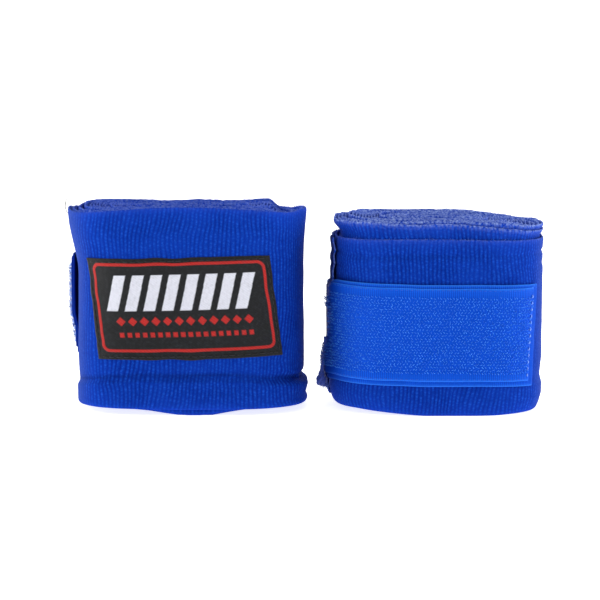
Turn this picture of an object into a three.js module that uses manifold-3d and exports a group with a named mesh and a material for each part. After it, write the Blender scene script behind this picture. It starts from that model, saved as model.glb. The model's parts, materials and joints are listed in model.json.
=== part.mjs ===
// A pair of rolled elastic hand wraps, standing on edge side by side.
// Millimetres, +Z up, the floor at z = 0. In a wrap's own frame the closure faces -Y and the label +Y.
import * as THREE from 'three';
import Module from 'manifold-3d';

const wasm = await Module();
wasm.setup();
const { Manifold, Mesh: ManifoldMesh } = wasm;

// The bandage: one elastic strip, 2.5 m long, wound flat from the thumb loop outwards.
const BANDAGE_LENGTH = 2500;
const BANDAGE_THICKNESS = 0.68;
const CORE_RADIUS = 2.3;
const FIRST_ANGLE = 90; // the inner end, at the back of the core
const FINE_RADIUS = 7; // outside this radius the facets are half as long

// The hem: the bandage's outer end, folded back and sewn.
const HEM_ANGLE = 15;
const HEM_THICKNESS = 1.2;

// The closure: hook tape sewn on a slightly wider loop tape, which is sewn to the bandage's end.
const LAYER_GAP = 0.3;
const LOOP_TAPE = { thickness: 0.9, width: 25.6 };
const HOOK_TAPE = { thickness: 0.9, width: 23.4 };
const BASE_ANGLE = 23;
const HINGE_GAP_ANGLE = 0.7;
const HOOK_START_ANGLE = 2.5;
const SETTLE_ANGLE = 50; // over this angle the tab comes down from the hem to the turn below
const LIFT_ANGLE = 30; // over this angle the tab's free end stands off

// The label and the thread.
const LABEL = { thickness: 0.5, width: 25.8, halfLength: 24, cornerInset: 1.1 };
const THREAD = { thickness: 0.25, width: 0.6, inset: 1 };

// The thumb loop: a narrow webbing, folded in two, standing in the core.
const THUMB_LOOP = { webbing: 1.1, eye: 0.8, width: 12, low: 4, high: 44, sewnHeight: 9, shift: 0.2 };
const BARTACK = { width: 8, height: 3, low: 6 };

// Each wrap: where it stands, which way it faces, how it is wound, and the heights of its edges.
const WRAPS = [
  {
    name: 'left', x: -31.9, facing: 180, straightHalf: 8.9, turns: 23, endAngle: 229,
    inner: { low: 0, high: 51 }, outer: { low: 1.2, high: 52.4 },
    hookEnd: 358, loopEnd: 362, tabCentre: 27.4, tabDrop: 0, tabLift: 1.4, labelCentre: 27.1,
  },
  {
    name: 'right', x: 31.9, facing: 0, straightHalf: 5.6, turns: 25, endAngle: 188,
    inner: { low: 0, high: 48.4 }, outer: { low: 0, high: 44.8 },
    hookEnd: 318, loopEnd: 326, tabCentre: 21.3, tabDrop: 1.6, tabLift: 0, labelCentre: 23.5,
  },
];

const COLOURS = {
  bandage: 0x1f45ad, hem: 0x1a3a98, loopTape: 0x1250cc, hookTape: 0x2b66dd, label: 0x26282c,
  thumbLoop: 0x1b3f9f, blueThread: 0x7fa2f0, blackThread: 0x101114,
};

const HALF_TURN = 180;
const FULL_TURN = 360;
const SNAP = 1024; // plan points sit on a grid of 1/1024 mm, which a 32-bit float holds exactly

function radians(degrees) {
  return THREE.MathUtils.degToRad(degrees);
}

// The angle of the bandage's end, counted up from the first turn.
function lastAngle(wrap) {
  return wrap.turns * FULL_TURN + wrap.endAngle;
}

// The distance between turns that winds the whole length into this roll.
function pitch(wrap) {
  const turns = (lastAngle(wrap) - FIRST_ANGLE) / FULL_TURN;
  const firstTurn = 2 * Math.PI * CORE_RADIUS + 4 * wrap.straightHalf;
  return (BANDAGE_LENGTH - turns * firstTurn) / (Math.PI * turns * turns);
}

// The winding's centre-line radius at an angle counted up from the first turn.
function windingRadius(wrap, angle) {
  return CORE_RADIUS + pitch(wrap) * (angle - FIRST_ANGLE) / FULL_TURN;
}

function smooth(value) {
  const t = THREE.MathUtils.clamp(value, 0, 1);
  return t * t * (3 - 2 * t);
}

// The angles at which a strip is cut into flat facets, finer where the radius is larger.
function facetAngles(wrap, from, to) {
  const angles = [from];
  let next = from;
  while (next < to) {
    const perHalfTurn = windingRadius(wrap, next) > FINE_RADIUS ? 12 : 6;
    const step = HALF_TURN / perHalfTurn;
    next = (Math.floor(next / step + 1e-6) + 1) * step;
    angles.push(Math.min(next, to));
  }
  return angles;
}

// The stations of a strip round the stadium: two arcs joined by straight runs at 90 and 270 degrees.
function stations(wrap, from, to, radiusAt) {
  const found = [];
  const add = (angle, side) => {
    const turn = radians(angle);
    const normal = new THREE.Vector2(Math.cos(turn), Math.sin(turn));
    const centre = new THREE.Vector2(side * wrap.straightHalf, 0);
    found.push({ angle, normal, point: centre.addScaledVector(normal, radiusAt(angle)) });
  };
  for (const angle of facetAngles(wrap, from, to)) {
    const position = THREE.MathUtils.euclideanModulo(angle - 90, FULL_TURN);
    const onLeft = position > 1e-6 && position < HALF_TURN - 1e-6;
    const atTop = position <= 1e-6 || position >= FULL_TURN - 1e-6;
    const atBottom = Math.abs(position - HALF_TURN) <= 1e-6;
    if (!atTop && !atBottom) {
      add(angle, onLeft ? -1 : 1);
      continue;
    }
    if (angle > from) add(angle, atTop ? 1 : -1);
    if (angle < to) add(angle, atTop ? -1 : 1);
  }
  return found;
}

// A point of the strip's plan, at a distance along a station's normal.
function planPoint(station, offset) {
  return station.point.clone().addScaledVector(station.normal, offset)
    .multiplyScalar(SNAP).round().divideScalar(SNAP);
}

// A curved strip: its plan is extruded upwards, then each edge is moved to its own height.
function strip(wrap, { from, to, radiusAt, thickness, lowAt, highAt }) {
  const line = stations(wrap, from, to, radiusAt);
  const back = [...line].reverse();
  const outline = [
    ...line.map((station) => planPoint(station, thickness / 2)),
    ...back.map((station) => planPoint(station, -thickness / 2)),
  ];
  const angleOf = new Map();
  [...line, ...back].forEach((station, i) => angleOf.set(`${outline[i].x},${outline[i].y}`, station.angle));
  const geometry = new THREE.ExtrudeGeometry(new THREE.Shape(outline), { depth: 1, bevelEnabled: false });
  const position = geometry.getAttribute('position');
  for (let i = 0; i < position.count; i += 1) {
    const angle = angleOf.get(`${position.getX(i)},${position.getY(i)}`);
    position.setZ(i, position.getZ(i) > 0.5 ? highAt(angle) : lowAt(angle));
  }
  return geometry;
}

function toManifold(geometry) {
  const joined = weld(geometry);
  const vertProperties = new Float32Array(joined.getAttribute('position').array);
  const triVerts = new Uint32Array(joined.index.array);
  return new Manifold(new ManifoldMesh({ numProp: 3, vertProperties, triVerts }));
}

// Joins equal points so that the surface is one closed skin.
function weld(geometry) {
  const position = geometry.getAttribute('position');
  const numbers = new Map();
  const points = [];
  const index = [];
  for (let i = 0; i < position.count; i += 1) {
    const point = [position.getX(i), position.getY(i), position.getZ(i)];
    const key = point.map((value) => value.toFixed(4)).join();
    if (!numbers.has(key)) {
      numbers.set(key, points.length / 3);
      points.push(...point);
    }
    index.push(numbers.get(key));
  }
  const welded = new THREE.BufferGeometry();
  welded.setAttribute('position', new THREE.Float32BufferAttribute(points, 3));
  welded.setIndex(index);
  return welded;
}

function fromManifold(solid) {
  const mesh = solid.getMesh();
  const geometry = new THREE.BufferGeometry();
  geometry.setAttribute('position', new THREE.Float32BufferAttribute(mesh.vertProperties, 3));
  geometry.setIndex(Array.from(mesh.triVerts));
  const flat = geometry.toNonIndexed();
  flat.computeVertexNormals();
  return flat;
}

// A seam: a thin closed frame of thread, cut from a strip by a thicker and smaller one.
function frame(wrap, { from, to, radiusAt, lowAt, highAt }) {
  const border = { from, to, radiusAt, lowAt, highAt, thickness: THREAD.thickness };
  const narrow = THREE.MathUtils.radToDeg(THREAD.width / radiusAt(from));
  const window = {
    ...border,
    from: from + narrow,
    to: to - narrow,
    lowAt: (angle) => lowAt(angle) + THREAD.width,
    highAt: (angle) => highAt(angle) - THREAD.width,
    thickness: 4 * THREAD.thickness,
  };
  return fromManifold(toManifold(strip(wrap, border)).subtract(toManifold(strip(wrap, window))));
}

function material(colour, roughness) {
  return new THREE.MeshStandardMaterial({ color: colour, roughness, metalness: 0 });
}

function named(name, geometry, colour, roughness) {
  geometry.computeVertexNormals();
  const mesh = new THREE.Mesh(geometry, material(colour, roughness));
  mesh.name = name;
  return mesh;
}

// The height of one edge: the last turn slides up or down against the turns under it.
function edgeAt(wrap, edge) {
  const slideEnd = lastAngle(wrap) - FULL_TURN;
  return (angle) => {
    const share = smooth((angle - slideEnd + FULL_TURN) / FULL_TURN);
    return THREE.MathUtils.lerp(wrap.inner[edge], wrap.outer[edge], share);
  };
}

function makeBandage(wrap) {
  return strip(wrap, {
    from: FIRST_ANGLE,
    to: lastAngle(wrap),
    radiusAt: (angle) => windingRadius(wrap, angle),
    thickness: BANDAGE_THICKNESS,
    lowAt: edgeAt(wrap, 'low'),
    highAt: edgeAt(wrap, 'high'),
  });
}

function makeHem(wrap) {
  const extra = (HEM_THICKNESS - BANDAGE_THICKNESS) / 2;
  return strip(wrap, {
    from: lastAngle(wrap) + HINGE_GAP_ANGLE,
    to: lastAngle(wrap) + HEM_ANGLE,
    radiusAt: (angle) => windingRadius(wrap, angle) + extra,
    thickness: HEM_THICKNESS,
    lowAt: () => wrap.outer.low,
    highAt: () => wrap.outer.high,
  });
}

// The loop tape's centre line: over the hem, then down to the turn below, then off it again.
function loopTapeRadius(wrap) {
  const overHem = HEM_THICKNESS - BANDAGE_THICKNESS / 2 + LAYER_GAP + LOOP_TAPE.thickness / 2;
  const overTurn = BANDAGE_THICKNESS / 2 + LAYER_GAP + LOOP_TAPE.thickness / 2 - pitch(wrap);
  const hemEnd = lastAngle(wrap) + HEM_ANGLE;
  const tapeEnd = wrap.turns * FULL_TURN + wrap.loopEnd;
  return (angle) => {
    const settled = smooth((angle - hemEnd) / SETTLE_ANGLE);
    const lift = wrap.tabLift * smooth((angle - tapeEnd + LIFT_ANGLE) / LIFT_ANGLE);
    return windingRadius(wrap, angle) + THREE.MathUtils.lerp(overHem, overTurn, settled) + lift;
  };
}

// The tape's edges: level at the base, dropping towards the free end.
function tapeEdge(wrap, offset) {
  const start = lastAngle(wrap);
  const end = wrap.turns * FULL_TURN + wrap.loopEnd;
  return (angle) => {
    const share = THREE.MathUtils.clamp((angle - start) / (end - start), 0, 1);
    return wrap.tabCentre + offset + wrap.tabDrop * (0.5 - share);
  };
}

function makeLoopTapeBase(wrap) {
  return strip(wrap, {
    from: lastAngle(wrap) - BASE_ANGLE,
    to: lastAngle(wrap) - HINGE_GAP_ANGLE,
    radiusAt: loopTapeRadius(wrap),
    thickness: LOOP_TAPE.thickness,
    lowAt: tapeEdge(wrap, -LOOP_TAPE.width / 2),
    highAt: tapeEdge(wrap, LOOP_TAPE.width / 2),
  });
}

function makeLoopTape(wrap) {
  return strip(wrap, {
    from: lastAngle(wrap) + HINGE_GAP_ANGLE,
    to: wrap.turns * FULL_TURN + wrap.loopEnd,
    radiusAt: loopTapeRadius(wrap),
    thickness: LOOP_TAPE.thickness,
    lowAt: tapeEdge(wrap, -LOOP_TAPE.width / 2),
    highAt: tapeEdge(wrap, LOOP_TAPE.width / 2),
  });
}

function hookTapeRadius(wrap) {
  const above = (LOOP_TAPE.thickness + HOOK_TAPE.thickness) / 2 + LAYER_GAP;
  return (angle) => loopTapeRadius(wrap)(angle) + above;
}

function makeHookTape(wrap) {
  return strip(wrap, {
    from: lastAngle(wrap) + HOOK_START_ANGLE,
    to: wrap.turns * FULL_TURN + wrap.hookEnd,
    radiusAt: hookTapeRadius(wrap),
    thickness: HOOK_TAPE.thickness,
    lowAt: tapeEdge(wrap, -HOOK_TAPE.width / 2),
    highAt: tapeEdge(wrap, HOOK_TAPE.width / 2),
  });
}

// A seam's height above the middle of the layer that it is sewn through.
function threadHeight(layerThickness) {
  return layerThickness / 2 + LAYER_GAP + THREAD.thickness / 2;
}

function makeHookStitching(wrap) {
  const insetAngle = THREE.MathUtils.radToDeg(THREAD.inset / windingRadius(wrap, lastAngle(wrap)));
  return frame(wrap, {
    from: lastAngle(wrap) + HOOK_START_ANGLE + insetAngle,
    to: wrap.turns * FULL_TURN + wrap.hookEnd - insetAngle,
    radiusAt: (angle) => hookTapeRadius(wrap)(angle) + threadHeight(HOOK_TAPE.thickness),
    lowAt: tapeEdge(wrap, THREAD.inset - HOOK_TAPE.width / 2),
    highAt: tapeEdge(wrap, HOOK_TAPE.width / 2 - THREAD.inset),
  });
}

function makeBaseStitching(wrap) {
  const insetAngle = THREE.MathUtils.radToDeg(2 * THREAD.inset / windingRadius(wrap, lastAngle(wrap)));
  return frame(wrap, {
    from: lastAngle(wrap) - BASE_ANGLE + insetAngle,
    to: lastAngle(wrap) - insetAngle,
    radiusAt: (angle) => loopTapeRadius(wrap)(angle) + threadHeight(LOOP_TAPE.thickness),
    lowAt: tapeEdge(wrap, 2 * THREAD.inset - LOOP_TAPE.width / 2),
    highAt: tapeEdge(wrap, LOOP_TAPE.width / 2 - 2 * THREAD.inset),
  });
}

// The angles that the label covers on the last turn at the back, and its centre-line radius.
function labelSpan(wrap, inset) {
  const middle = wrap.turns * FULL_TURN + 90;
  const radiusAt = (angle) => windingRadius(wrap, angle) + BANDAGE_THICKNESS / 2
    + LAYER_GAP + LABEL.thickness / 2;
  const arc = LABEL.halfLength - inset - wrap.straightHalf;
  const halfAngle = THREE.MathUtils.radToDeg(arc / radiusAt(middle));
  return { from: middle - halfAngle, to: middle + halfAngle, radiusAt };
}

function makeLabel(wrap) {
  return strip(wrap, {
    ...labelSpan(wrap, 0),
    thickness: LABEL.thickness,
    lowAt: () => wrap.labelCentre - LABEL.width / 2,
    highAt: () => wrap.labelCentre + LABEL.width / 2,
  });
}

function makeLabelStitching(wrap) {
  const span = labelSpan(wrap, LABEL.cornerInset);
  return frame(wrap, {
    from: span.from,
    to: span.to,
    radiusAt: (angle) => span.radiusAt(angle) + threadHeight(LABEL.thickness),
    lowAt: () => wrap.labelCentre - LABEL.width / 2 + LABEL.cornerInset,
    highAt: () => wrap.labelCentre + LABEL.width / 2 - LABEL.cornerInset,
  });
}

// Lays a profile drawn in (depth, height) upright and extrudes it along X, centred.
function extrudeAcross(shape, width) {
  const geometry = new THREE.ExtrudeGeometry(shape, { depth: width, bevelEnabled: false, curveSegments: 8 });
  geometry.translate(0, 0, -width / 2);
  geometry.rotateY(Math.PI / 2);
  geometry.rotateX(Math.PI / 2);
  return geometry;
}

function makeThumbLoop() {
  const outer = THUMB_LOOP.webbing + THUMB_LOOP.eye / 2;
  const eye = THUMB_LOOP.eye / 2;
  const profile = new THREE.Shape();
  profile.moveTo(-outer, THUMB_LOOP.low);
  profile.lineTo(outer, THUMB_LOOP.low);
  profile.lineTo(outer, THUMB_LOOP.high - outer);
  profile.absarc(0, THUMB_LOOP.high - outer, outer, 0, Math.PI, false);
  profile.lineTo(-outer, THUMB_LOOP.low);
  const gap = new THREE.Path();
  gap.moveTo(-eye, THUMB_LOOP.low + THUMB_LOOP.sewnHeight);
  gap.lineTo(-eye, THUMB_LOOP.high - outer);
  gap.absarc(0, THUMB_LOOP.high - outer, eye, Math.PI, 0, true);
  gap.lineTo(eye, THUMB_LOOP.low + THUMB_LOOP.sewnHeight);
  gap.lineTo(-eye, THUMB_LOOP.low + THUMB_LOOP.sewnHeight);
  profile.holes.push(gap);
  const geometry = extrudeAcross(profile, THUMB_LOOP.width);
  geometry.translate(0, THUMB_LOOP.shift, 0);
  return geometry;
}

function makeBartack() {
  const geometry = new THREE.BoxGeometry(BARTACK.width, THREAD.thickness, BARTACK.height);
  const face = THUMB_LOOP.webbing + THUMB_LOOP.eye / 2;
  const depth = THUMB_LOOP.shift + face + LAYER_GAP + THREAD.thickness / 2;
  geometry.translate(0, depth, BARTACK.low + BARTACK.height / 2);
  return geometry;
}

function buildWrap(wrap) {
  const group = new THREE.Group();
  group.position.x = wrap.x;
  group.rotation.z = radians(wrap.facing);
  const add = (name, geometry, colour, roughness) => {
    group.add(named(`${wrap.name}_${name}`, geometry, colour, roughness));
  };
  add('bandage', makeBandage(wrap), COLOURS.bandage, 0.9);
  add('end_hem', makeHem(wrap), COLOURS.hem, 0.9);
  add('loop_tape_base', makeLoopTapeBase(wrap), COLOURS.loopTape, 0.7);
  add('base_stitching', makeBaseStitching(wrap), COLOURS.blueThread, 0.6);
  add('loop_tape', makeLoopTape(wrap), COLOURS.loopTape, 0.7);
  add('hook_tape', makeHookTape(wrap), COLOURS.hookTape, 0.5);
  add('hook_stitching', makeHookStitching(wrap), COLOURS.blueThread, 0.6);
  add('label', makeLabel(wrap), COLOURS.label, 0.7);
  add('label_stitching', makeLabelStitching(wrap), COLOURS.blackThread, 0.6);
  add('thumb_loop', makeThumbLoop(), COLOURS.thumbLoop, 0.8);
  add('thumb_loop_bartack', makeBartack(), COLOURS.blueThread, 0.6);
  return group;
}

const pair = new THREE.Group();
for (const wrap of WRAPS) pair.add(buildWrap(wrap));

// The origin is the bottom centre of the whole pair.
const box = new THREE.Box3().setFromObject(pair);
const centre = box.getCenter(new THREE.Vector3());
pair.position.set(-centre.x, -centre.y, -box.min.z);
pair.updateMatrixWorld(true);

export default pair;
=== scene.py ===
"""A pair of rolled elastic hand wraps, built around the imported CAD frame.

Lengths are millimetres; points in the row frame, in metres, come from Winding.world().
East is the row frame's +X, seen on the right, and west is -X."""
import json
import math

import bpy
import numpy as np
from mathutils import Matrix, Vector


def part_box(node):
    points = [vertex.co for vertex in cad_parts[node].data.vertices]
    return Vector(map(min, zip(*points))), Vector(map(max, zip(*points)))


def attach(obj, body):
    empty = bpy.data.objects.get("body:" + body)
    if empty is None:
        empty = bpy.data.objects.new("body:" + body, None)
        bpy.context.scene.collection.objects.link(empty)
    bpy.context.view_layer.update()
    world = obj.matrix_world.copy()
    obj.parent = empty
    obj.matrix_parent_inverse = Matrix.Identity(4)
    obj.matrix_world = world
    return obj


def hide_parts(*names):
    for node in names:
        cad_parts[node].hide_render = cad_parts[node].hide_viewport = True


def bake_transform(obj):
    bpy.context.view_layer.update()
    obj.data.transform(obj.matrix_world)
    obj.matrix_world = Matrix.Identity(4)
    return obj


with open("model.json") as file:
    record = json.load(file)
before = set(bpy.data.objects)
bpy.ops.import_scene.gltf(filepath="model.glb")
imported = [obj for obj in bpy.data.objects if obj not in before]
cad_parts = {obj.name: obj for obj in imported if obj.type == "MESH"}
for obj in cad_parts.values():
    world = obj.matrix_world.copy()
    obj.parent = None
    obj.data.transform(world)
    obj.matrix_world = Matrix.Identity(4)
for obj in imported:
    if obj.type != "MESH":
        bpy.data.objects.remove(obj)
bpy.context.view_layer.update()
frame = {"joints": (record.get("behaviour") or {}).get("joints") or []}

MM = 0.001
TAU = 2 * math.pi

# The winding, as in the CAD.
LENGTH = 2500.0
CORE_RADIUS = 2.3
FIRST_ANGLE = 90.0
SQUARENESS = 0.045  # how much a turn bulges at its corners, as a share of its radius
HALF_THICKNESS = 0.27
INNER_HALF_THICKNESS = 0.2
HEM_ANGLE = 15.0  # how far the folded end reaches past the bandage's last angle
BASE_ANGLE = 23.0  # how far before it the loop tape is sewn on
HOOK_START = 9.0  # how far before it the hook tape starts
SETTLE_ANGLE = 50.0  # over which the tab comes down from the hem to the turn below
LIFT_ANGLE = 30.0  # over which its free end lifts off
THUMB_SHIFT = 0.2  # from the thumb loop's middle to the core's
ANGLE_STEP = 1.5  # between stations of the winding
PAST_END = 160.0  # how far the table of stations goes on for the tab
STRAIGHT_POINTS = 9  # stations along a straight stretch, a hundredth of a degree apart
STRAIGHT_STEP = 0.01
STRAIGHT_END = 0.079  # just short of the last of them

# The cloth.
RIB = 1.03  # between ribs
COURSE = 0.85  # between rows of knitting
LOOP_WIDTH = 25.6
LOOP_HALF = 0.28  # half thickness
LOOP_DROP = 0.2  # how much lower than the hook tape it lies
HOOK_WIDTH = 23.4
HOOK_HALF = 0.2
HOOK_RISE = 0.5  # from the loop tape's middle to the hook tape's
SELVEDGE = 2.2  # the hook tape's bare edge
TIP = 0.35  # how far a cut or woven edge is rounded, and how far its pale fraying and painted highlight reach
LABEL_HALF = 23.4
LABEL_HEIGHT = 25.7
LABEL_REST = 0.22  # from the cloth's face to the label

CAMERA_LENS = 162.09
CAMERA_PLACE = (-0.00037, -0.68980, 0.10866)  # metres
CAMERA_DIP = 6.75  # degrees below the horizon

# facing is -1 for a roll turned half round, and half is half the core's straight stretch.
# The bandage ends at end degrees after turns whole turns, and the tapes at hook_end and loop_end.
# The tab's middle is tab_centre high and falls by tab_drop, and its end stands off by tab_lift.
# ends: how far the west and east ends swell. sag and slant shape the tapes; coarse is the hooks' size.
# The label rises by label_tilt along its length, leans by label_skew, is moved along by label_shift
# and grows taller by label_grow; label_lift raises its lower corner.
WRAPS = {
    "left": dict(
        facing=-1, half=8.9, turns=23, end=229, seed=11,
        hook_end=364, loop_end=366, tab_centre=26.7, tab_drop=0.0, tab_lift=0.9,
        ends=(-0.2, 1.2), sag=0.0, slant=0.0, coarse=1.35,
        label_centre=27.0, label_tilt=0.85, label_skew=3.85, label_shift=-0.4,
        label_grow=0.016, label_lift=0.75,
    ),
    "right": dict(
        facing=1, half=5.6, turns=25, end=188, seed=29,
        hook_end=317, loop_end=321, tab_centre=20.8, tab_drop=1.2, tab_lift=0.0,
        ends=(0.0, 0.5), sag=2.0, slant=2.2, coarse=1.0,
        label_centre=23.5, label_tilt=-0.6, label_skew=-0.8, label_shift=0.0,
        label_grow=0.0, label_lift=0.0,
    ),
}


def smooth(value):
    t = np.clip(value, 0, 1)
    return t * t * (3 - 2 * t)


def hump(value, middle, width):
    return np.exp(-(((value - middle) / width) ** 2))


def arc_lengths(line):
    """How far along a polyline each of its points is."""
    return np.concatenate([[0], np.cumsum(np.linalg.norm(np.diff(line, axis=0), axis=1))])


def along(at, arc, values):
    """A polyline's rows of values, one for each length in arc, read off at other lengths."""
    return np.stack([np.interp(at, arc, column) for column in values.T], -1)


def box_mm(node):
    """A CAD node's low and high corners."""
    return [np.array(corner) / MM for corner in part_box(node)]


class Noise:
    """Smooth noise from -1 to 1 on a plane, the same at every run."""

    def __init__(self, seed):
        self.grid = np.random.default_rng(seed).uniform(-1, 1, (128, 128))

    def __call__(self, x, y):
        x, y = np.broadcast_arrays(np.asarray(x, float), np.asarray(y, float))
        column, row = np.floor(x).astype(int), np.floor(y).astype(int)
        u, v = smooth(x - column), smooth(y - row)
        corner = [[self.grid[(row + j) % 128, (column + i) % 128] for i in (0, 1)] for j in (0, 1)]
        low = corner[0][0] * (1 - u) + corner[0][1] * u
        high = corner[1][0] * (1 - u) + corner[1][1] * u
        return low * (1 - v) + high * v


class Winding:
    """One wrap's spiral by arc length: where its middle line runs, and which way is outwards."""

    def __init__(self, name):
        self.name = name
        self.__dict__.update(WRAPS[name])
        self.noise = Noise(self.seed)
        self.start = self.turns * 360.0
        self.last = self.start + self.end
        self.hook_stop = self.start + self.hook_end
        self.loop_stop = self.start + self.loop_end
        count = (self.last - FIRST_ANGLE) / 360
        first_turn = TAU * CORE_RADIUS + 4 * self.half
        self.pitch = (LENGTH - count * first_turn) / (math.pi * count * count)
        low, high = box_mm(name + "_thumb_loop")
        self.centre = (low + high)[:2] / 2
        self.centre[1] -= self.facing * THUMB_SHIFT
        angles = np.arange(FIRST_ANGLE, self.last + PAST_END, ANGLE_STEP)
        table = np.array([row for angle in angles for row in self.stations(angle)])
        self.angles, self.points = table[:, 0], table[:, 1:3]
        tangent = np.gradient(self.points, axis=0)
        self.normals = np.stack([tangent[:, 1], -tangent[:, 0]], -1)
        self.normals /= np.linalg.norm(self.normals, axis=1, keepdims=True)
        self.arc = arc_lengths(self.points)
        self.end_s = self.s_at(self.last)

    def stations(self, angle):
        """(angle, x, y) rows: one on an arc, and several along a straight stretch."""
        turn = (angle - 90) % 360
        a, reach = math.radians(angle), self.reach(angle)
        sides = [-1.0 if 0 < turn < 180 else 1.0]
        if angle == FIRST_ANGLE:
            sides = [-1.0]
        elif turn == 0:
            sides = np.linspace(1, -1, STRAIGHT_POINTS)
        elif turn == 180:
            sides = np.linspace(-1, 1, STRAIGHT_POINTS)
        return [
            (angle + STRAIGHT_STEP * i, side * self.half + reach * math.cos(a), reach * math.sin(a))
            for i, side in enumerate(sides)
        ]

    def reach(self, angle):
        """From an arc's centre to the line: squarer than a circle, and swollen at the roll's ends."""
        a = math.radians(angle)
        east = math.cos(a) * self.facing
        swell = self.ends[1] * max(east, 0) ** 2 + self.ends[0] * max(-east, 0) ** 2
        return self.radius(angle) * (1 - SQUARENESS * math.cos(4 * a) + swell / self.radius(self.last))

    def radius(self, angle):
        return CORE_RADIUS + self.pitch * (angle - FIRST_ANGLE) / 360

    def s_at(self, angle):
        return float(np.interp(angle, self.angles, self.arc))

    def angle_at(self, s):
        return np.interp(s, self.arc, self.angles)

    def world(self, s, offset, z):
        """Points of the row frame, in metres, at arc length s, offset outwards and height z."""
        s, offset, z = np.broadcast_arrays(np.asarray(s, float), offset, z)
        normal = along(s, self.arc, self.normals)
        normal /= np.linalg.norm(normal, axis=-1, keepdims=True)
        middle = along(s, self.arc, self.points)
        plan = (middle + normal * offset[..., None]) * self.facing + self.centre
        return np.concatenate([plan, z[..., None]], -1) * MM

    def rise(self, s, before, over):
        """From 0 to 1 towards the bandage's end: it starts before degrees short and lasts over."""
        return smooth((self.angle_at(s) - (self.last - before)) / over)

    def slide(self, s):
        """From 0 on the inner turns to 1 on the last one."""
        return self.rise(s, 720, 360)

    def east(self, s):
        """How far east of the roll's centre the line is."""
        return np.interp(s, self.arc, self.points[:, 0]) * self.facing

    def side_shares(self, s):
        """1 at the roll's west or east end, 0 at its front and back."""
        east = np.cos(np.radians(self.angle_at(s))) * self.facing
        return np.clip(-east, 0, 1) ** 2, np.clip(east, 0, 1) ** 2

    def level_edges(self, s):
        """Heights of the bandage's two edges without their small waves."""
        x, share = self.east(s), self.slide(s)
        if self.name == "left":
            inner_top = 51.0 + 0.8 * (x / 25) ** 2 - 2.3 * smooth((x - 20) / 4)
            corner = 0.9 * hump(x, 28.8, 1.6) + 1.1 * hump(x, -28.8, 1.8)
            behind = np.clip(np.sin(np.radians(self.angle_at(s))) * self.facing, 0, 1)
            outer_top = 52.4 - 2.2 * (x / 29) ** 2 + corner - 1.5 * behind
            inner_low = 1.9 * (1 - 1.1 * hump(x, 2, 10))
            outer_low = 1.9 - 0.5 * hump(x, 3, 12)
        else:
            inner_top = 48.8 - 1.9 * smooth((x - 4) / 24)
            outer_top = 44.5 - 0.4 * np.clip(-x / 27, 0, 1) ** 2 - 0.5 * smooth(x / 27)
            inner_low = 1.5 * smooth(-x / 25) + 0.3 * smooth(x / 27)
            outer_low = inner_low
        under = self.rise(s, 470, 200)
        low = inner_low + (outer_low - inner_low) * under
        return low, inner_top + (outer_top - inner_top) * share

    def edges(self, s):
        """Heights of the bandage's two edges, which wander from turn to turn."""
        low, high = self.level_edges(s)
        calm = 1 - 0.75 * self.slide(s)
        wander = 0.65 * self.noise(s / 37, 3.5) + 0.32 * self.noise(s / 8, 7.5)
        fray = 0.16 * self.noise(s / 1.3, 11.5) + 0.12 * self.noise(s / 0.6, 43.5)
        under = 0.25 * self.noise(s / 29, 19.5) + 0.12 * self.noise(s / 5, 27.5)
        return np.maximum(low + under, 0), high + wander * calm + fray * calm

    def puff(self, s, z):
        """How far the cloth stands off the even winding: flares, creases and slack."""
        share = self.slide(s)
        outer = self.rise(s, 1800, 1800)
        west, east = self.side_shares(s)
        front = 1 - west - east
        slack = 0.24 * self.noise(s / 23, z / 17) * share
        wrinkle = 0.10 * self.noise(s / 7, z / 1.9 + 60) * share
        wrinkle = wrinkle + 0.07 * self.noise(s / 9, z / 0.8 + 20) * self.plain(s)
        if self.name == "left":
            flare = 2.9 * smooth((z - 34) / 17) * west + 0.4 * smooth((z - 44) / 8) * east
            height = self.crease_height(s)
            depth = (0.4 + 0.25 * self.noise(s / 14, 70.5)) * front + 1.5 * east + 0.1 * west
            crease = -depth * hump(z, height + 0.4, 0.9)
            belly = (0.75 * front + 1.1 * east + 0.45 * west) * smooth((height - z) / 1.3)
            belly = belly - 0.7 * east * hump(z, 3.2, 0.7)
            return outer * (flare + crease + belly) + slack + wrinkle + self.crumple(s)
        ends = west + east
        waist = 2.0 * smooth((z - 45.2) / 2.6) * west + 2.9 * smooth((z - 43.5) / 3) * east
        waist = (waist - 0.7 * smooth((z - 42) / 3) * ends) * (1 - share)
        waist = waist * self.rise(s, 3600, 3600)
        tuck = -outer * (0.7 + 1.0 * west + 0.7 * east) * smooth((6 - z) / 6) ** 2
        tuck = tuck - outer * 0.7 * east * hump(z, 9, 2)
        tuck = tuck + outer * 1.6 * west * smooth((12 - z) / 5)
        wrinkle = wrinkle * (0.6 + smooth((z - 36) / 4)) - self.folds(s, z)
        return waist + tuck + slack + wrinkle + self.crumple(s)

    def folds(self, s, z):
        """Two faint folds along the right roll, under its outer turn's upper edge."""
        found = 0.0 * z
        for height, depth, row in ((40.4, 0.42, 91.5), (37.2, 0.26, 95.5)):
            middle = height + 0.5 * self.noise(s / 19, row)
            strength = depth * (0.75 + 0.5 * self.noise(s / 11, row + 2))
            found = found + strength * hump(z, middle, 0.6)
        return found * self.slide(s)

    def crease_height(self, s):
        west, east = self.side_shares(s)
        return 9.5 - 2.3 * west - 1.8 * east + 0.6 * self.noise(s / 12, 2.5)

    def creased(self, s, z):
        """1 in the fold above the left roll's belly, where little light comes."""
        if self.name == "right":
            return 0.0 * z
        height = self.crease_height(s) + 0.3
        strength = 0.45 + 0.25 * self.noise(s / 14, 70.5)
        return strength * self.slide(s) * hump(z, height, np.where(z > height, 0.75, 0.25))

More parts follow.
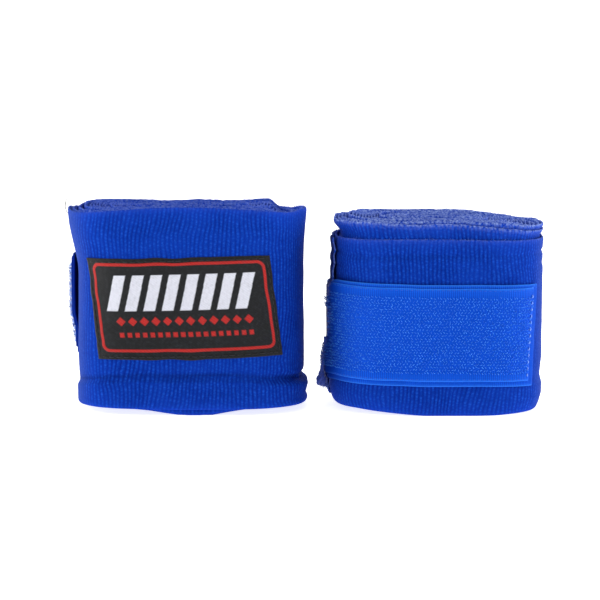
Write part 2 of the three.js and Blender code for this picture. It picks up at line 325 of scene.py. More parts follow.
    def crumple(self, s):
        """Uneven winding: neighbouring turns wander together."""
        x, y = (np.interp(s, self.arc, self.points[:, i]) for i in (0, 1))
        calm = 1 - self.rise(s, 900, 500)
        return calm * (0.5 * self.noise(x / 7, y / 7 + 13) + 0.22 * self.noise(x / 3, y / 3 + 51))

    def plain(self, s):
        """1 where the cloth is drawn smooth over the roll's outer side, 0 where its ribs show. There the
        ribs are flattened and a paler, greyer blue is painted on as the sheen of the side light.
        """
        west, east = self.side_shares(s)
        share = smooth((west - 0.4) / 0.5) if self.name == "left" else smooth((east - 0.55) / 0.45)
        return share * self.slide(s)

    def curl(self, s, z):
        """How far the tape's lower part turns out by the right tab's root, or in at the left's end."""
        if self.name == "left":
            near = smooth((s - self.end_s - 30) / 12)
            return -1.0 * near * smooth((self.tab_centre - 2 - z) / 6)
        near = smooth((self.end_s + 8 - s) / 7)
        return 1.0 * near * smooth((self.tab_centre - 2 - z) / 7)

    def droop(self, s, z):
        """The tape sags where it turns round the roll's end, its upper edge most."""
        share = np.clip((z - self.tape_centre(self.angle_at(s))) / LOOP_WIDTH + 0.5, 0, 1)
        return self.sag * smooth((self.end_s + 10 - s) / 9) * (0.25 + 0.75 * share)

    def turned(self, s):
        """Up to 1 where the tapes turn away round the roll's west end: painted shade, as little light
        reaches them there.
        """
        if self.name == "right":
            return 0.9 * smooth((self.end_s + 19 - s) / 18)
        return 0.75 * smooth((s - self.s_at(self.hook_stop) + 9) / 6)

    def slope(self, s, z):
        """How far the tab's slanted end is drawn along the roll."""
        share = (z - self.tape_centre(self.angle_at(s))) / LOOP_WIDTH
        return self.slant * share * smooth((s - self.s_at(self.hook_stop) + 14) / 12)

    def corner_back(self, s, z):
        """The lower corner of the bandage's end is drawn back into its twist."""
        if self.name == "left":
            return 0.0 * z
        return -14.0 * smooth((s - self.end_s + 30) / 30) * smooth((11.5 - z) / 4)

    def tape_offset(self, angle, extra=0.0):
        """How far the loop tape's middle stands off the spiral's line."""
        settled = smooth((angle - self.last - HEM_ANGLE) / SETTLE_ANGLE)
        lift = self.tab_lift * smooth((angle - self.loop_stop + LIFT_ANGLE) / LIFT_ANGLE)
        over_hem, over_turn = 1.0, 0.8 - self.pitch
        return over_hem + (over_turn - over_hem) * settled + lift + extra

    def tape_centre(self, angle):
        share = np.clip((angle - self.last) / (self.loop_stop - self.last), 0, 1)
        return self.tab_centre + self.tab_drop * (0.5 - share)


# ---------------------------------------------------------------- meshes


def make_mesh(name, material, points, faces, uv=None, values=None):
    """A mesh object from arrays. values holds named numbers, one for each point."""
    mesh = bpy.data.meshes.new(name)
    faces = np.asarray(faces)
    mesh.vertices.add(len(points))
    mesh.vertices.foreach_set("co", np.asarray(points, np.float32).ravel())
    mesh.loops.add(faces.size)
    mesh.loops.foreach_set("vertex_index", faces.ravel().astype(np.int32))
    mesh.polygons.add(len(faces))
    mesh.polygons.foreach_set("loop_start", np.arange(0, faces.size, faces.shape[1], dtype=np.int32))
    if uv is not None:
        layer = mesh.uv_layers.new(name="UVMap")
        layer.data.foreach_set("uv", np.asarray(uv, np.float32)[faces.ravel()].ravel())
    for key, value in (values or {}).items():
        attribute = mesh.attributes.new(key, "FLOAT", "POINT")
        attribute.data.foreach_set("value", np.asarray(value, np.float32).ravel())
    mesh.update(calc_edges=True)
    mesh.validate()
    mesh.polygons.foreach_set("use_smooth", np.ones(len(mesh.polygons), bool))
    mesh.materials.append(material)
    made = bpy.data.objects.new(name, mesh)
    bpy.context.collection.objects.link(made)
    return made


def make_piece(wrap, name, material, mesh, nodes=(), body="wrap"):
    """One of the wrap's pieces, from (points, faces, uv, values), which stands for CAD nodes."""
    made = make_mesh(f"{wrap.name}_{name}", MATERIALS[material], *mesh)
    if nodes:
        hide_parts(*(f"{wrap.name}_{node}" for node in nodes))
    if body:
        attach(made, f"{wrap.name}_{body}")
    return made


def ring_faces(rows, columns):
    """Quads of a tube of rows rings, each of columns points, closed round each ring."""
    row, column = np.meshgrid(np.arange(rows - 1), np.arange(columns), indexing="ij")
    beside = (column + 1) % columns
    a, b = row * columns + column, row * columns + beside
    return np.stack([a, b, b + columns, a + columns], -1).reshape(-1, 4)


def strip_faces(rows, columns):
    """A flattened tube's quads, and those that close its ends by joining points across the strip."""
    found = []
    for base, turned in ((0, True), ((rows - 1) * columns, False)):
        for i in range(columns // 2 - 1):
            quad = [base + i, base + i + 1, base + columns - 2 - i, base + columns - 1 - i]
            found.append(quad[::-1] if turned else quad)
    return np.concatenate([ring_faces(rows, columns), found])


def cross_section(levels):
    """(height share, side) round a flat strip: up the outside, down the inside."""
    return np.array([(t, 1.0) for t in levels] + [(t, -1.0) for t in reversed(levels)])


def even_levels(count):
    """Height shares from 0 to 1 with extra rows by both edges."""
    return np.concatenate([[0, 0.005, 0.014], np.linspace(0.03, 0.97, count), [0.986, 0.995, 1]])


def by_row(points, row_values):
    """Each row's value for all of the row's points."""
    return np.repeat(row_values, len(points) // len(row_values))


def merge(first, second):
    """Joins two (points, faces, uv, values) parts into one."""
    points, uv = (np.concatenate([first[i], second[i]]) for i in (0, 2))
    faces = np.concatenate([first[1], second[1] + len(first[0])])
    values = {key: np.concatenate([first[3][key], second[3][key]]) for key in first[3]}
    return points, faces, uv, values


def strip_part(wrap, stations, levels, offset_at, edges_at, half, uv_at, rib_depth=0.0, edge_width=1.1,
               tips_at=lambda s: 0.0 * s, drift_at=lambda s, z: 0.0 * z):
    """A closed flat strip along the winding, as (points, faces, uv, values)."""
    ring = cross_section(levels)
    s = stations[:, None]
    low, high = edges_at(s)
    share, side = ring[None, :, 0], ring[None, :, 1]
    z = low + (high - low) * share
    s = s + drift_at(s, z)
    from_edge = np.minimum(z - low, high - z)
    round_off = np.clip(1 - from_edge / TIP, 0, 1) ** 2
    uv = uv_at(s, z)
    rib = 0.5 + 0.5 * np.cos(TAU * uv[..., 0])
    plain = wrap.plain(s)
    away = smooth(from_edge / 0.8) * (1 - 0.75 * plain)
    thickness = half * (1 - 0.6 * round_off) + rib_depth * rib * away
    points = wrap.world(s, offset_at(s, z) + side * thickness, z)
    values = {
        # painted highlight along the strip's edges, strongest right at the edge
        "edge": np.exp(-from_edge / edge_width).ravel(),
        # pale top edge: frayed fibres and a painted highlight where the edge faces the light
        "tip": (np.exp(-(high - z) / TIP) * tips_at(s)).ravel(),
        "field": smooth((from_edge - SELVEDGE) / 0.5).ravel(),
        # the roll's smooth outer side, which also carries a painted sheen
        "plain": plain.ravel(),
        # painted shade in the fold above the left roll's belly
        "dark": wrap.creased(s, z).ravel(),
    }
    return points.reshape(-1, 3), strip_faces(len(stations), len(ring)), uv.reshape(-1, 2), values


# ---------------------------------------------------------------- materials


class Shader:
    """A short way to write one material's nodes."""

    def __init__(self, name):
        self.material = bpy.data.materials.new(name)
        self.material.use_nodes = True
        self.tree = self.material.node_tree
        self.surface = self.tree.nodes["Principled BSDF"]

    def link(self, value, socket):
        if isinstance(value, bpy.types.NodeSocket):
            self.tree.links.new(value, socket)
        else:
            socket.default_value = value

    def node(self, kind, **inputs):
        made = self.tree.nodes.new(kind)
        for key, value in inputs.items():
            self.link(value, made.inputs[key])
        return made

    def math(self, operation, *values, clamp=False):
        made = self.node("ShaderNodeMath")
        made.operation = operation
        made.use_clamp = clamp
        for value, socket in zip(values, made.inputs):
            self.link(value, socket)
        return made.outputs[0]

    def times(self, a, b, clamp=False):
        return self.math("MULTIPLY", a, b, clamp=clamp)

    def scale(self, x, times, plus=0.0):
        return self.math("MULTIPLY_ADD", x, times, plus)

    def uv(self):
        made = self.node("ShaderNodeSeparateXYZ", Vector=self.node("ShaderNodeUVMap").outputs[0])
        return made.outputs[0], made.outputs[1]

    def value(self, name):
        made = self.node("ShaderNodeAttribute")
        made.attribute_name = name
        return made.outputs["Fac"]

    def noise(self, scale, detail=2.0, vector=None):
        vector = vector or self.node("ShaderNodeTexCoord").outputs["Object"]
        return self.node("ShaderNodeTexNoise", Vector=vector, Scale=scale, Detail=detail).outputs["Fac"]

    def wave(self, x, phase=0.0):
        """From 0 to 1 and back, once for each step of 1 in x."""
        turned = self.times(self.math("ADD", x, phase), TAU)
        return self.scale(self.math("COSINE", turned), 0.5, 0.5)

    def mix(self, share, a, b):
        made = self.node("ShaderNodeMix")
        made.data_type = "RGBA"
        self.link(share, made.inputs[0])
        self.link(a, made.inputs[6])
        self.link(b, made.inputs[7])
        return made.outputs[2]

    def finish(self, colour, roughness, height=None, bump=0.3, depth=0.0002, **fixed):
        self.link(colour, self.surface.inputs["Base Color"])
        self.link(roughness, self.surface.inputs["Roughness"])
        for key, value in fixed.items():
            self.surface.inputs[key.replace("_", " ")].default_value = value
        if height is not None:
            made = self.node("ShaderNodeBump", Strength=bump, Distance=depth, Height=height)
            self.tree.links.new(made.outputs[0], self.surface.inputs["Normal"])
        return self.material


def rgb(red, green, blue):
    """A colour for a node, from 0 to 255 as a screen shows it."""
    shares = [c / 255 for c in (red, green, blue)]
    linear = [((c + 0.055) / 1.055) ** 2.4 if c > 0.04 else c / 12.92 for c in shares]
    return (*linear, 1.0)


def knit_material():
    """Ribbed elastic knit: u counts ribs and v counts rows of stitches."""
    m = Shader("elastic_knit")
    u, v = m.uv()
    rib = m.wave(u)
    stagger = m.times(m.math("FLOOR", m.math("ADD", u, 0.5)), 0.37)
    patches = m.noise(120.0, 3.0)
    grain = m.noise(1100.0)
    fibres = m.noise(5200.0)
    along = m.node("ShaderNodeCombineXYZ", X=m.times(u, 1.3)).outputs[0]
    streaks = m.noise(1.0, 2.0, along)
    stitch = m.wave(m.math("ADD", m.math("ADD", v, stagger), m.scale(grain, 2.2)))
    # darker in the valleys between the ribs, a painted shade, made patchy by the grain noise
    broken = m.times(rib, m.scale(grain, 1.7, -0.1), clamp=True)
    dots = m.times(m.times(rib, stitch), m.scale(grain, 3.2, -1.15), clamp=True)
    shade = m.mix(broken, rgb(0, 30, 122), rgb(2, 57, 164))
    shade = m.mix(m.scale(patches, 1.6, -0.6), shade, rgb(8, 54, 162))
    shade = m.mix(m.times(dots, 0.42), shade, rgb(34, 90, 204))
    shade = m.mix(m.scale(fibres, 0.4, -0.14), shade, rgb(34, 80, 190))
    # painted highlight: a lighter blue along the cloth's lit edges
    shade = m.mix(m.times(m.value("edge"), 0.55, clamp=True), shade, rgb(24, 66, 190))
    # painted sheen: a paler, greyer blue where the side light grazes the roll's outer end
    shade = m.mix(m.times(m.value("plain"), 0.75), shade, rgb(44, 68, 144))
    # painted shade: near-black blue in the left roll's crease and over the hem's shaded part
    shade = m.mix(m.times(m.value("dark"), 0.8), shade, rgb(1, 10, 62))
    speck = m.math("ADD", m.scale(m.noise(1700.0), 0.6), m.scale(streaks, 0.4))
    # pale specks at the top edge: frayed fibres, and a painted highlight where the edge faces the light
    fray_and_highlight = m.times(m.value("tip"), m.scale(speck, 4.8, -1.9), clamp=True)
    shade = m.mix(fray_and_highlight, shade, rgb(150, 172, 226))
    height = m.math("ADD", m.times(dots, 0.8), m.times(fibres, 0.6))
    return m.finish(
        shade, 0.9, height, 0.6, 0.0002,
        Sheen_Weight=0.12, Sheen_Roughness=0.3, Sheen_Tint=rgb(110, 130, 250), Specular_IOR_Level=0.05,
    )


def tape_material(name, dark, light, gloss, field=None):
    """Woven nylon tape: u runs along the tape and v across it, in millimetres."""
    m = Shader(name)
    u, v = m.uv()
    warp = m.wave(m.times(u, 1 / 0.5))
    weft = m.wave(m.times(v, 1 / 0.42), 0.25)
    weave = m.times(warp, m.scale(weft, 0.4, 0.6))
    patches = m.noise(260.0, 3.0)
    shade = m.mix(weave, dark, light)
    shade = m.mix(m.scale(patches, 0.6, -0.1), shade, rgb(6, 78, 206))
    if field:
        shade = m.mix(m.times(m.value("field"), 0.9), shade, field)
    # painted highlight: a light azure line along the tape's edges
    shade = m.mix(m.times(m.value("edge"), 0.8, clamp=True), shade, rgb(48, 128, 240))
    # painted shade: deep blue where the tape turns away from the light
    shade = m.mix(m.value("dark"), shade, rgb(0, 26, 112))
    return m.finish(shade, gloss, weave, 0.5, 0.00015, Specular_IOR_Level=0.08)


def hook_material():
    m = Shader("nylon_hooks")
    tone = m.noise(900.0)
    shade = m.mix(m.scale(tone, 2.4, -0.7), rgb(0, 82, 206), rgb(78, 158, 246))
    # painted shade where the hooks turn away from the light
    shade = m.mix(m.times(m.value("dark"), 0.8), shade, rgb(0, 30, 120))
    return m.finish(shade, 0.4, Specular_IOR_Level=0.25)


def thread_material(name, dark, light, sheen=0.3):
    m = Shader(name)
    twist = m.noise(3800.0)
    return m.finish(m.mix(twist, dark, light), 0.6, twist, 0.4, 0.0001, Sheen_Weight=sheen)


def fuzz_material():
    m = Shader("loose_fibres")
    tone = m.noise(700.0, 1.0)
    return m.finish(m.mix(tone, rgb(14, 50, 160), rgb(112, 140, 216)), 0.8, Specular_IOR_Level=0.1)


def label_material():
    """Woven satin: the ground, the frame and the motif are threads of three colours."""
    m = Shader("woven_label")
    u, v = m.uv()
    rows = m.wave(m.times(v, 1 / 0.22))
    ends = m.wave(m.times(u, 1 / 0.3), 0.3)
    twill = m.wave(m.math("ADD", m.times(u, 1 / 0.9), m.times(v, 1 / 0.7)))
    weave = m.times(m.times(rows, m.scale(ends, 0.4, 0.6)), m.scale(twill, 0.5, 0.5))
    slub = m.noise(1500.0)
    shade = m.mix(weave, rgb(2, 2, 3), rgb(18, 20, 24))
    red = m.mix(weave, rgb(150, 16, 14), rgb(216, 44, 36))
    white = m.mix(weave, rgb(192, 194, 208), rgb(240, 240, 244))
    shade = m.mix(m.value("red"), shade, red)
    shade = m.mix(m.value("white"), shade, white)
    shade = m.mix(m.scale(slub, 0.6, -0.28), shade, rgb(60, 65, 72))
    return m.finish(shade, 0.6, weave, 0.6, 0.00015, Sheen_Weight=0.05, Specular_IOR_Level=0.25)


def floor_material():
    m = Shader("pale_floor")
    tone = m.mix(m.noise(3.0), (0.9, 0.9, 0.9, 1), (0.92, 0.92, 0.92, 1))
    return m.finish(tone, 0.9, Emission_Color=(1, 1, 1, 1), Emission_Strength=0.8)


MATERIALS = {
    "knit": knit_material(),
    "loop": tape_material("loop_tape", rgb(0, 46, 156), rgb(0, 84, 206), 0.75),
    "hook": tape_material("hook_tape", rgb(0, 54, 168), rgb(0, 92, 216), 0.6, rgb(6, 76, 198)),
    "nylon": hook_material(),
    "webbing": tape_material("webbing", rgb(4, 26, 100), rgb(24, 66, 176), 0.8),
    "blue": thread_material("blue_thread", rgb(60, 124, 236), rgb(160, 196, 255)),
    "tape_thread": thread_material("tape_thread", rgb(2, 58, 176), rgb(10, 84, 206), 0.0),
    "black": thread_material("black_thread", rgb(2, 2, 3), rgb(18, 19, 23), 0.0),
    "grey": thread_material("stray_thread", rgb(40, 36, 40), rgb(90, 82, 84), 0.0),
    # darker than the knit's blue: painted shade, as the twist hangs in shadow
    "hem_yarn": thread_material("hem_yarn", rgb(1, 14, 74), rgb(30, 70, 180)),
    "fuzz": fuzz_material(),
    "label": label_material(),
}


# ---------------------------------------------------------------- the bandage


def rib_uv(wrap):
    """The ribs wander and lean a little, as on crepe cloth."""

    def at(s, z):
        drift = 1.1 * wrap.noise(s / 27, z / 14) + 0.4 * wrap.noise(s / 7, z / 4.5 + 40)
        u = s / RIB + drift + 0.2 * wrap.noise(s / 2.1, z / 2.2 + 80)
        return np.stack(np.broadcast_arrays(u, z / COURSE), -1)

    return at


def make_bandage(wrap):
    """The whole strip: the last two turns in fine steps, the turns inside them in coarse ones."""
    outer_start = wrap.s_at(wrap.last - 760)
    inner_end = wrap.s_at(wrap.last - 740)
    shown = np.arange(outer_start, wrap.end_s, 0.36)
    hidden = np.arange(0.0, inner_end, 0.95)
    uv = rib_uv(wrap)
    bare = np.array([0, 0.012, 0.06, 0.94, 0.988, 1])
    # how strongly the top edge is painted pale with fraying and highlight, more on the right roll
    fray_and_highlight = 0.35 if wrap.name == "left" else 0.9

    def tips(s):
        return fray_and_highlight * (1 - 0.8 * wrap.slide(s))

    creased = np.arange(0.1, 0.21, 0.01) if wrap.name == "left" else np.arange(0.8, 0.95, 0.014)
    levels = np.unique(np.concatenate([even_levels(19), creased]))
    fine = strip_part(
        wrap, shown, levels, wrap.puff, wrap.edges, HALF_THICKNESS, uv, 0.1, tips_at=tips,
        drift_at=wrap.corner_back,
    )
    coarse = strip_part(
        wrap, hidden, bare, wrap.puff, wrap.edges, INNER_HALF_THICKNESS, uv, 0.03, tips_at=tips
    )
    made = make_piece(wrap, "bandage_cloth", "knit", merge(coarse, fine), ["bandage"])


def make_hem(wrap):
    """The folded end: a thicker strip whose free edge is uneven."""
    stop = wrap.s_at(wrap.last + HEM_ANGLE)
    stations = np.linspace(wrap.end_s - 0.2, stop, 26)

    def free(s):
        return smooth((s - stop + 3) / 3)

    def offset(s, z):
        wave = 0.35 * wrap.noise(z / 4, 9.5) + 0.35 * wrap.noise(z / 1.6, 33.5)
        return 0.2 + wrap.puff(s, z) + (0.4 + 0.6 * free(s)) * smooth((z - 8) / 6) * (0.15 + wave)

    def drift(s, z):
        """The free edge is ragged."""
        ragged = 0.5 * wrap.noise(z / 2.4, 15.5) + 0.25 * wrap.noise(z / 0.9, 21.5)
        return free(s) * ragged * smooth((z - 6) / 6) + wrap.corner_back(s, z)

    def edges(s):
        low, high = wrap.edges(s)
        return low + 0.15, high - 0.15

    uv = rib_uv(wrap)
    half = 0.42 - 0.24 * free(stations)[:, None]
    part = strip_part(wrap, stations, even_levels(60), offset, edges, half, uv, 0.06, drift_at=drift)
    # painted light and shade: the hem is painted dark where it lies in shadow, and pale at its lit free
    # edge
    lit_free_edge = smooth((stations - stop + 0.3) / 0.3)
    part[3]["dark"] = by_row(part[0], 1 - lit_free_edge)
    part[3]["tip"] = by_row(part[0], 0.3 * lit_free_edge)
    make_piece(wrap, "end_hem_cloth", "knit", part, ["end_hem"])


# ---------------------------------------------------------------- the closure


def tape_uv(s, z):
    return np.stack(np.broadcast_arrays(s, z), -1)


def blend_tab(wrap, made):
    """The piece crosses the tab's hinge. Its transform is baked; the points a little before and after the
    hinge are worked out but not used.
    """
    joint = next(j for j in frame["joints"] if j["name"] == wrap.name + "_tab_peel")
    hinge = np.array(joint["pos_m"])
    before, after = wrap.world([wrap.end_s - 1, wrap.end_s + 1], 0.0, 0.0)
    reach = 1.6 * MM * (after - before) / np.linalg.norm(after - before)
    start, end = tuple(hinge - reach), tuple(hinge + reach)
    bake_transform(made)
    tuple(start)
    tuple(end)


def make_tape(wrap, name, nodes, width, first, last, extra, half):
    """One tape of the closure, following the roll, and its flat size."""
    stations = np.arange(wrap.s_at(first), wrap.s_at(last), 0.45)

    def edges(s):
        middle = wrap.tape_centre(wrap.angle_at(s)) - (LOOP_DROP if extra == 0 else 0)
        wave = 0.12 * wrap.noise(s / 7, extra * 9 + 1)
        low, high = middle - width / 2 + wave, middle + width / 2 + wave
        return low - wrap.droop(s, low), high - wrap.droop(s, high)

    def offset(s, z):
        end = smooth((s - stations[-1] + 1.5) / 1.5)
        wrinkle = 0.06 * wrap.noise(s / 6, z / 6 + 9)
        return wrap.tape_offset(wrap.angle_at(s), extra) + wrinkle - 0.12 * end + wrap.curl(s, z)

    part = strip_part(
        wrap, stations, even_levels(30), offset, edges, half, tape_uv, edge_width=0.22,
        drift_at=wrap.slope,
    )
    # painted shade where the tape turns away from the light
    part[3]["dark"] = by_row(part[0], wrap.turned(stations))
    made = make_piece(wrap, name + "_tape_cloth", name, part, nodes, body=None)
    return made, (width * MM, float(stations[-1] - stations[0]) * MM)


def make_closure(wrap):
    """Both tapes and the hooks, which cross the tab's hinge."""
    loop, flat = make_tape(
        wrap, "loop", ["loop_tape", "loop_tape_base"], LOOP_WIDTH,
        wrap.last - BASE_ANGLE, wrap.loop_stop, 0.0, LOOP_HALF,
    )
    hook, flat = make_tape(
        wrap, "hook", ["hook_tape"], HOOK_WIDTH,
        wrap.last - HOOK_START, wrap.hook_stop, HOOK_RISE, HOOK_HALF,
    )
    for piece in (loop, hook, make_hooks(wrap)):
        blend_tab(wrap, piece)


HOOK_PROFILE = np.array(
    [(-0.2, -0.1), (-0.2, 0.22), (-0.14, 0.42), (0.02, 0.55), (0.2, 0.5), (0.28, 0.34), (0.24, 0.24)]
)


def tubes(centres, across, radius, sides=4):
    """Closed tubes with an even number of sides, one along each row of centres (count, steps, 3)."""
    count, steps = centres.shape[:2]
    tangent = np.gradient(centres, axis=1)
    tangent /= np.linalg.norm(tangent, axis=-1, keepdims=True) + 1e-12
    side = across[:, None] - tangent * (across[:, None] * tangent).sum(-1, keepdims=True)
    side /= np.linalg.norm(side, axis=-1, keepdims=True) + 1e-12
    other = np.cross(tangent, side)
    turn = np.arange(sides) * TAU / sides
    radius = np.broadcast_to(radius, (count, steps))[..., None, None]
    ring = side[:, :, None] * np.cos(turn)[:, None] + other[:, :, None] * np.sin(turn)[:, None]
    points = (centres[:, :, None] + ring * radius).reshape(-1, 3)
    cap = np.array([(0, i, i + 1, i + 2) for i in range(1, sides - 2, 2)])
    one = np.concatenate([ring_faces(steps, sides), cap[:, ::-1], cap + (steps - 1) * sides])
    shift = (np.arange(count) * steps * sides)[:, None, None]
    return points, (one[None] + shift).reshape(-1, 4)


def hook_places(wrap):
    """Where the crooks stand: arc lengths, heights over the tape's middle, leans and sizes."""
    rng = np.random.default_rng(wrap.seed + 5)
    first, last = wrap.s_at(wrap.last - HOOK_START + 1), wrap.s_at(wrap.hook_stop) - 1.2
    across = HOOK_WIDTH / 2 - SELVEDGE
    s, row = np.meshgrid(np.arange(first, last, 0.8), np.arange(-across, across, 0.72), indexing="ij")
    odd = np.broadcast_to(np.arange(s.shape[1]) % 2, s.shape)
    lean = np.radians(np.where(odd > 0, 50, 130)).ravel()
    lean = lean + rng.normal(0, 0.3, len(lean))
    s = (s + 0.4 * odd + rng.normal(0, 0.1, s.shape)).ravel()
    row = (row + rng.normal(0, 0.1, row.shape)).ravel()
    size = rng.uniform(0.75, 1.1, len(s)) * wrap.coarse
    sparse = rng.random(len(s)) < 0.55 * smooth((wrap.end_s + 14 - s) / 10)
    bare = (wrap.angle_at(s) < wrap.last + 13) & (row < 6) | sparse
    kept = ~((wrap.name == "right") & (row > -4) & bare)
    return s[kept], row[kept], lean[kept], size[kept]


def make_hooks(wrap):
    """Rows of nylon crooks between the tape's bare edges."""
    s, row, lean, size = hook_places(wrap)
    angle = wrap.angle_at(s)
    z = wrap.tape_centre(angle) + row
    s = s + wrap.slope(s, z)
    z = z - wrap.droop(s, z)
    base = wrap.tape_offset(angle, HOOK_RISE + HOOK_HALF) + wrap.curl(s, z)
    turn = np.stack([np.cos(lean), np.sin(lean)])[..., None]
    forward, up = HOOK_PROFILE.T[:, None] * size[:, None]
    centres = wrap.world(
        s[:, None] + forward * turn[0], base[:, None] + up, z[:, None] + forward * turn[1]
    )
    ahead = wrap.world(s + 0.5, base, z) - wrap.world(s - 0.5, base, z)
    ahead /= np.linalg.norm(ahead, axis=1, keepdims=True)
    aside = -ahead * turn[1] + np.array([0.0, 0.0, 1.0]) * turn[0]
    taper = np.array([0.075, 0.075, 0.075, 0.075, 0.07, 0.06, 0.045]) * MM * wrap.coarse
    points, faces = tubes(centres, aside, taper)
    # painted shade on the hooks where the tape turns away from the light
    mesh = (points, faces, None, {"dark": by_row(points, wrap.turned(s))})
    return make_piece(wrap, "hooks", "nylon", mesh, body=None)


# ---------------------------------------------------------------- thread


def stitches(seams, pitch, length, radius, seed):
    """Separate stitches along seams: (polyline in metres, its directions off the cloth) pairs."""
    rng = np.random.default_rng(seed)
    centres, sides = [], []
    for line, away in seams:
        arc = arc_lengths(line)
        for start in np.arange(pitch * 0.3, arc[-1] - length, pitch):
            t = start + np.linspace(0, 1, 6) * length + rng.normal(0, 0.03 * length)
            point = along(t, arc, line)
            off = along(t, arc, away)
            rise = np.sin(np.linspace(0, math.pi, 6))[:, None] * radius * 1.1 - radius * 0.5
            centres.append(point + off * rise)
            sides.append(off[2])
    taper = np.array([0.45, 0.9, 1.0, 1.0, 0.9, 0.45]) * radius
    return tubes(np.array(centres), np.array(sides), taper)


def surface_line(wrap, s, offset, z):
    """A line on the cloth and its outward directions."""
    line = wrap.world(s, offset, z)
    away = wrap.world(s, np.asarray(offset) + 1.0, z) - line
    return line, away / np.linalg.norm(away, axis=-1, keepdims=True)


def corner_seams(corners, count, line_at):
    """A seam from each corner to the next one."""
    return [
        line_at(np.linspace(x0, x1, count), np.linspace(y0, y1, count))
        for (x0, y0), (x1, y1) in zip(corners[:-1], corners[1:])
    ]


def make_hook_stitching(wrap):
    """Fine stitches just inside the hook tape's edges and plainer ones across its end."""
    stop = wrap.s_at(wrap.hook_stop) - 0.9
    run = np.linspace(wrap.end_s + 9, stop - 1, 160)
    angle = wrap.angle_at(run)
    seams = []
    for sign in (-1, 1):
        z = wrap.tape_centre(angle) + sign * (HOOK_WIDTH / 2 - 0.5)
        offset = wrap.tape_offset(angle, HOOK_RISE + HOOK_HALF) + wrap.curl(run, z)
        seams.append(surface_line(wrap, run, offset, z))
    edge_row = stitches(seams, 1.3 * MM, 0.8 * MM, 0.07 * MM, wrap.seed)
    make_piece(
        wrap, "hook_edge_stitches", "tape_thread", edge_row, body="closure_tab"
    )
    z = wrap.tape_centre(wrap.hook_stop) + np.linspace(-1, 1, 60) * (HOOK_WIDTH / 2 - 0.7)
    s = stop + wrap.slope(stop, z)
    offset = wrap.tape_offset(wrap.angle_at(s), HOOK_RISE + HOOK_HALF + 0.02) + wrap.curl(s, z)
    seams = [surface_line(wrap, s, offset, z)]
    end_row = stitches(seams, 1.65 * MM, 0.75 * MM, 0.19 * MM, wrap.seed)
    make_piece(
        wrap, "hook_end_stitches", "blue", end_row, ["hook_stitching"], "closure_tab"
    )


def make_base_stitching(wrap):
    """A sewn box through the loop tape's base."""
    first = wrap.s_at(wrap.last - BASE_ANGLE) + 1.4
    last = wrap.s_at(wrap.last - HOOK_START) - 0.7
    middle = wrap.tape_centre((wrap.angle_at(first) + wrap.angle_at(last)) / 2)
    high = LOOP_WIDTH / 2 - 1.6

    def line_at(s, z):
        return surface_line(wrap, s, wrap.tape_offset(wrap.angle_at(s), 0.3), z + middle)

    corners = [(first, -high), (last, -high), (last, high), (first, high), (first, -high), (last, high)]
    seams = corner_seams(corners, 30, line_at)
    box = stitches(seams, 2.0 * MM, 1.5 * MM, 0.13 * MM, wrap.seed + 1)
    make_piece(wrap, "base_stitches", "blue", box, ["base_stitching"])


# ---------------------------------------------------------------- the label


def label_masks(x, y):
    """How much red and white thread shows at x along and y up the label, from its middle."""

    def soft(distance):
        return np.clip(0.5 - distance / 0.12, 0, 1)

    def box(px, py, half_x, half_y, corner):
        dx, dy = np.abs(px) - half_x + corner, np.abs(py) - half_y + corner
        return np.hypot(np.maximum(dx, 0), np.maximum(dy, 0)) + np.minimum(np.maximum(dx, dy), 0) - corner

    row = np.round(y / 0.36) * 0.36
    frame_line = np.abs(box(x, y - 0.45, 21.4, 10.9, 1.6)) - 0.38
    red = soft(frame_line)
    lean = x - 0.36 * (row - 4.2)
    cell = (lean + 100 * 4.6) % 4.6 - 2.3
    bars = np.maximum(np.abs(cell) - 1.45, np.abs(y - 4.2) - 4.5)
    bars = np.maximum(bars, np.abs(lean) - 18.4)
    white = soft(bars)
    spot = (x + 100 * 2.9) % 2.9 - 1.45
    diamonds = np.maximum(np.abs(spot) + np.abs(y + 3.0) - 1.15, np.abs(x) - 17.4)
    line = np.maximum(np.abs(y + 6.4) - 0.6, np.abs(x) - 9 * 1.9)
    dashes = np.maximum(line, 0.4 - np.abs((x + 100.5 * 1.9) % 1.9 - 0.95))
    red = np.maximum(red, np.maximum(soft(diamonds), soft(dashes)))
    return red, white


def label_place(wrap, x, y):
    """(arc length, height) of the point x along and y up the label. x grows with the arc length."""
    straight = wrap.start + 90
    middle = (wrap.s_at(straight) + wrap.s_at(straight + STRAIGHT_END)) / 2
    s = middle + wrap.label_shift + x - wrap.label_skew * y / LABEL_HEIGHT
    taller = 1 + wrap.label_grow * x / LABEL_HALF
    lift = wrap.label_lift * np.clip(x / LABEL_HALF, 0, 1) ** 1.3 * (0.5 - y / LABEL_HEIGHT)
    z = wrap.label_centre + y * taller + lift + wrap.label_tilt * x / (2 * LABEL_HALF)
    return s, z


def sheet_faces(columns, rows):
    """Quads of a sheet and of its back, and the rim that joins their borders."""
    a = (np.arange(columns - 1)[:, None] * rows + np.arange(rows - 1)).ravel()
    quads = np.stack([a, a + rows, a + rows + 1, a + 1], -1)
    count = columns * rows
    border = np.concatenate([
        np.arange(columns) * rows, (columns - 1) * rows + np.arange(1, rows),
        np.arange(columns - 2, -1, -1) * rows + rows - 1, np.arange(rows - 2, 0, -1),
    ])
    after = np.roll(border, -1)
    rim = np.stack([border, border + count, after + count, after], -1)
    return np.concatenate([quads, quads[:, ::-1] + count, rim])


